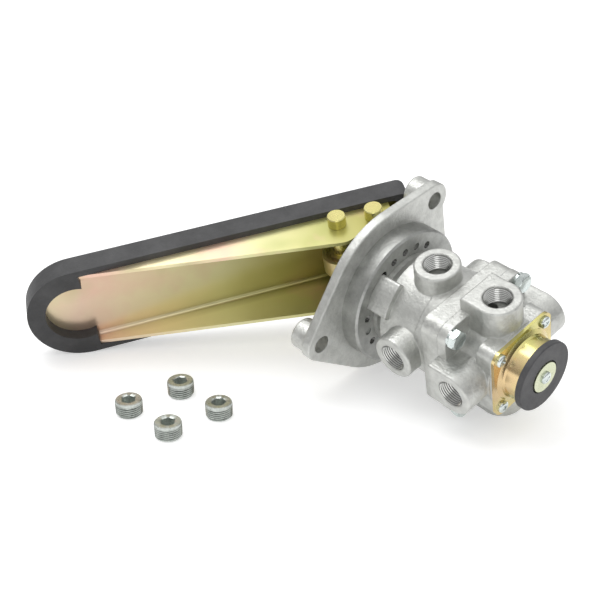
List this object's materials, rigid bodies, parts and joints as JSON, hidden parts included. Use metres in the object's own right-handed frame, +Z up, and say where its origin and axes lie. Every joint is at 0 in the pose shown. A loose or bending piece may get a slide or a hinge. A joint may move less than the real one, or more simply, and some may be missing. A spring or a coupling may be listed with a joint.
{
  "type": "treadle brake valve",
  "caption": "Air brake foot valve: a hinged treadle with a rubber pad presses a roller and plunger into a ported valve body on a lobed plate; loose pipe plugs beside it.",
  "frame": {"origin": "centre of the bounding box at table level, with the valve lying as in the picture", "axes": "+X runs with the valve axis towards the exhaust, which dips; the toe of the treadle points to -X and -Y; +Z is up from the table"},
  "size_m": [0.301, 0.2312, 0.1206],
  "materials": {
    "cast": "as-cast with a fine grain",
    "ring_metal": "turned",
    "gold_zinc": "yellow passivated zinc",
    "zinc": "bright zinc",
    "plug_steel": "bright zinc",
    "pad_rubber": "matt, finely grained",
    "black_rubber": "matt",
    "turned_steel": "turned",
    "turned_aluminium": "turned",
    "spring_steel": "drawn wire"
  },
  "bodies": {
    "valve": {"mounting_plate": "cast", "plate_screws": "zinc", "clocking_ring": "ring_metal", "rubber_boot": "black_rubber", "upper_body": "cast", "lower_body": "cast", "body_bolts": "zinc", "lock_washers": "zinc", "exhaust_cover": "gold_zinc", "exhaust_cover_screws": "zinc", "exhaust_flap": "black_rubber", "flap_washer": "zinc", "flap_screw": "zinc", "primary_valve_retainer": "turned_steel", "secondary_valve_retainer": "turned_steel", "fulcrum_pin": "gold_zinc", "fulcrum_cotter": "zinc", "piston_return_spring": "spring_steel", "primary_valve_spring": "spring_steel", "relay_return_spring": "spring_steel", "secondary_valve_spring": "spring_steel"},
    "treadle": {"treadle": "gold_zinc", "treadle_cover": "pad_rubber", "roller_pin": "gold_zinc", "roller_cotter": "zinc"},
    "roller": {"roller": "gold_zinc"},
    "plunger": {"plunger": "turned_steel", "spring_seat": "turned_steel", "rubber_spring": "black_rubber"},
    "primary_piston": {"primary_piston": "turned_aluminium", "primary_piston_seal": "black_rubber"},
    "primary_valve": {"primary_valve": "turned_steel"},
    "relay_piston": {"relay_piston": "turned_aluminium", "relay_piston_seal": "black_rubber"},
    "secondary_valve": {"secondary_valve": "turned_steel"},
    "pipe_plug_1": {"pipe_plug_1": "plug_steel"},
    "pipe_plug_2": {"pipe_plug_2": "plug_steel"},
    "pipe_plug_3": {"pipe_plug_3": "plug_steel"},
    "pipe_plug_4": {"pipe_plug_4": "plug_steel"}
  },
  "joints": [
    {"name": "treadle_press", "type": "hinge", "parent": "valve", "child": "treadle", "pos_m": [-0.00111, 0.06924, 0.06581], "axis": [0.1204, -0.2865, 0.9505], "range_deg": [0, 18.5], "stiffness_Nm_per_rad": 4, "springref_deg": -5.16},
    {"name": "roller_spin", "type": "hinge", "parent": "treadle", "child": "roller", "pos_m": [-0.0149, 0.05015, 0.0618], "axis": [0.1204, -0.2865, 0.9505], "continuous": true},
    {"name": "plunger_slide", "type": "slide", "parent": "valve", "child": "plunger", "axis": [0.9921, 0, -0.1257], "range_m": [0, 0.00701], "deforming": ["rubber_spring"]},
    {"name": "primary_piston_slide", "type": "slide", "parent": "valve", "child": "primary_piston", "axis": [0.9921, 0, -0.1257], "range_m": [0, 0.0035], "deforming": ["piston_return_spring", "rubber_spring"]},
    {"name": "primary_valve_slide", "type": "slide", "parent": "valve", "child": "primary_valve", "axis": [0.9921, 0, -0.1257], "range_m": [0, 0.00175], "deforming": ["primary_valve_spring"]},
    {"name": "relay_piston_slide", "type": "slide", "parent": "valve", "child": "relay_piston", "axis": [0.9921, 0, -0.1257], "range_m": [0, 0.0028], "deforming": ["relay_return_spring"]},
    {"name": "secondary_valve_slide", "type": "slide", "parent": "valve", "child": "secondary_valve", "axis": [0.9921, 0, -0.1257], "range_m": [0, 0.00175], "deforming": ["secondary_valve_spring"]},
    {"name": "pipe_plug_1_lift", "type": "slide", "parent": "valve", "child": "pipe_plug_1", "axis": [0, 0, 1], "range_m": [0, 0.12]},
    {"name": "pipe_plug_2_lift", "type": "slide", "parent": "valve", "child": "pipe_plug_2", "axis": [0, 0, 1], "range_m": [0, 0.12]},
    {"name": "pipe_plug_3_lift", "type": "slide", "parent": "valve", "child": "pipe_plug_3", "axis": [0, 0, 1], "range_m": [0, 0.12]},
    {"name": "pipe_plug_4_lift", "type": "slide", "parent": "valve", "child": "pipe_plug_4", "axis": [0, 0, 1], "range_m": [0, 0.12]}
  ],
  "couplings": [
    {"joint": "plunger_slide", "follows": "treadle_press", "m_per_rad": 0.021695},
    {"joint": "primary_piston_slide", "follows": "treadle_press", "m_per_rad": 0.010847},
    {"joint": "primary_valve_slide", "follows": "treadle_press", "m_per_rad": 0.0054237},
    {"joint": "relay_piston_slide", "follows": "treadle_press", "m_per_rad": 0.008678},
    {"joint": "secondary_valve_slide", "follows": "treadle_press", "m_per_rad": 0.0054237}
  ]
}
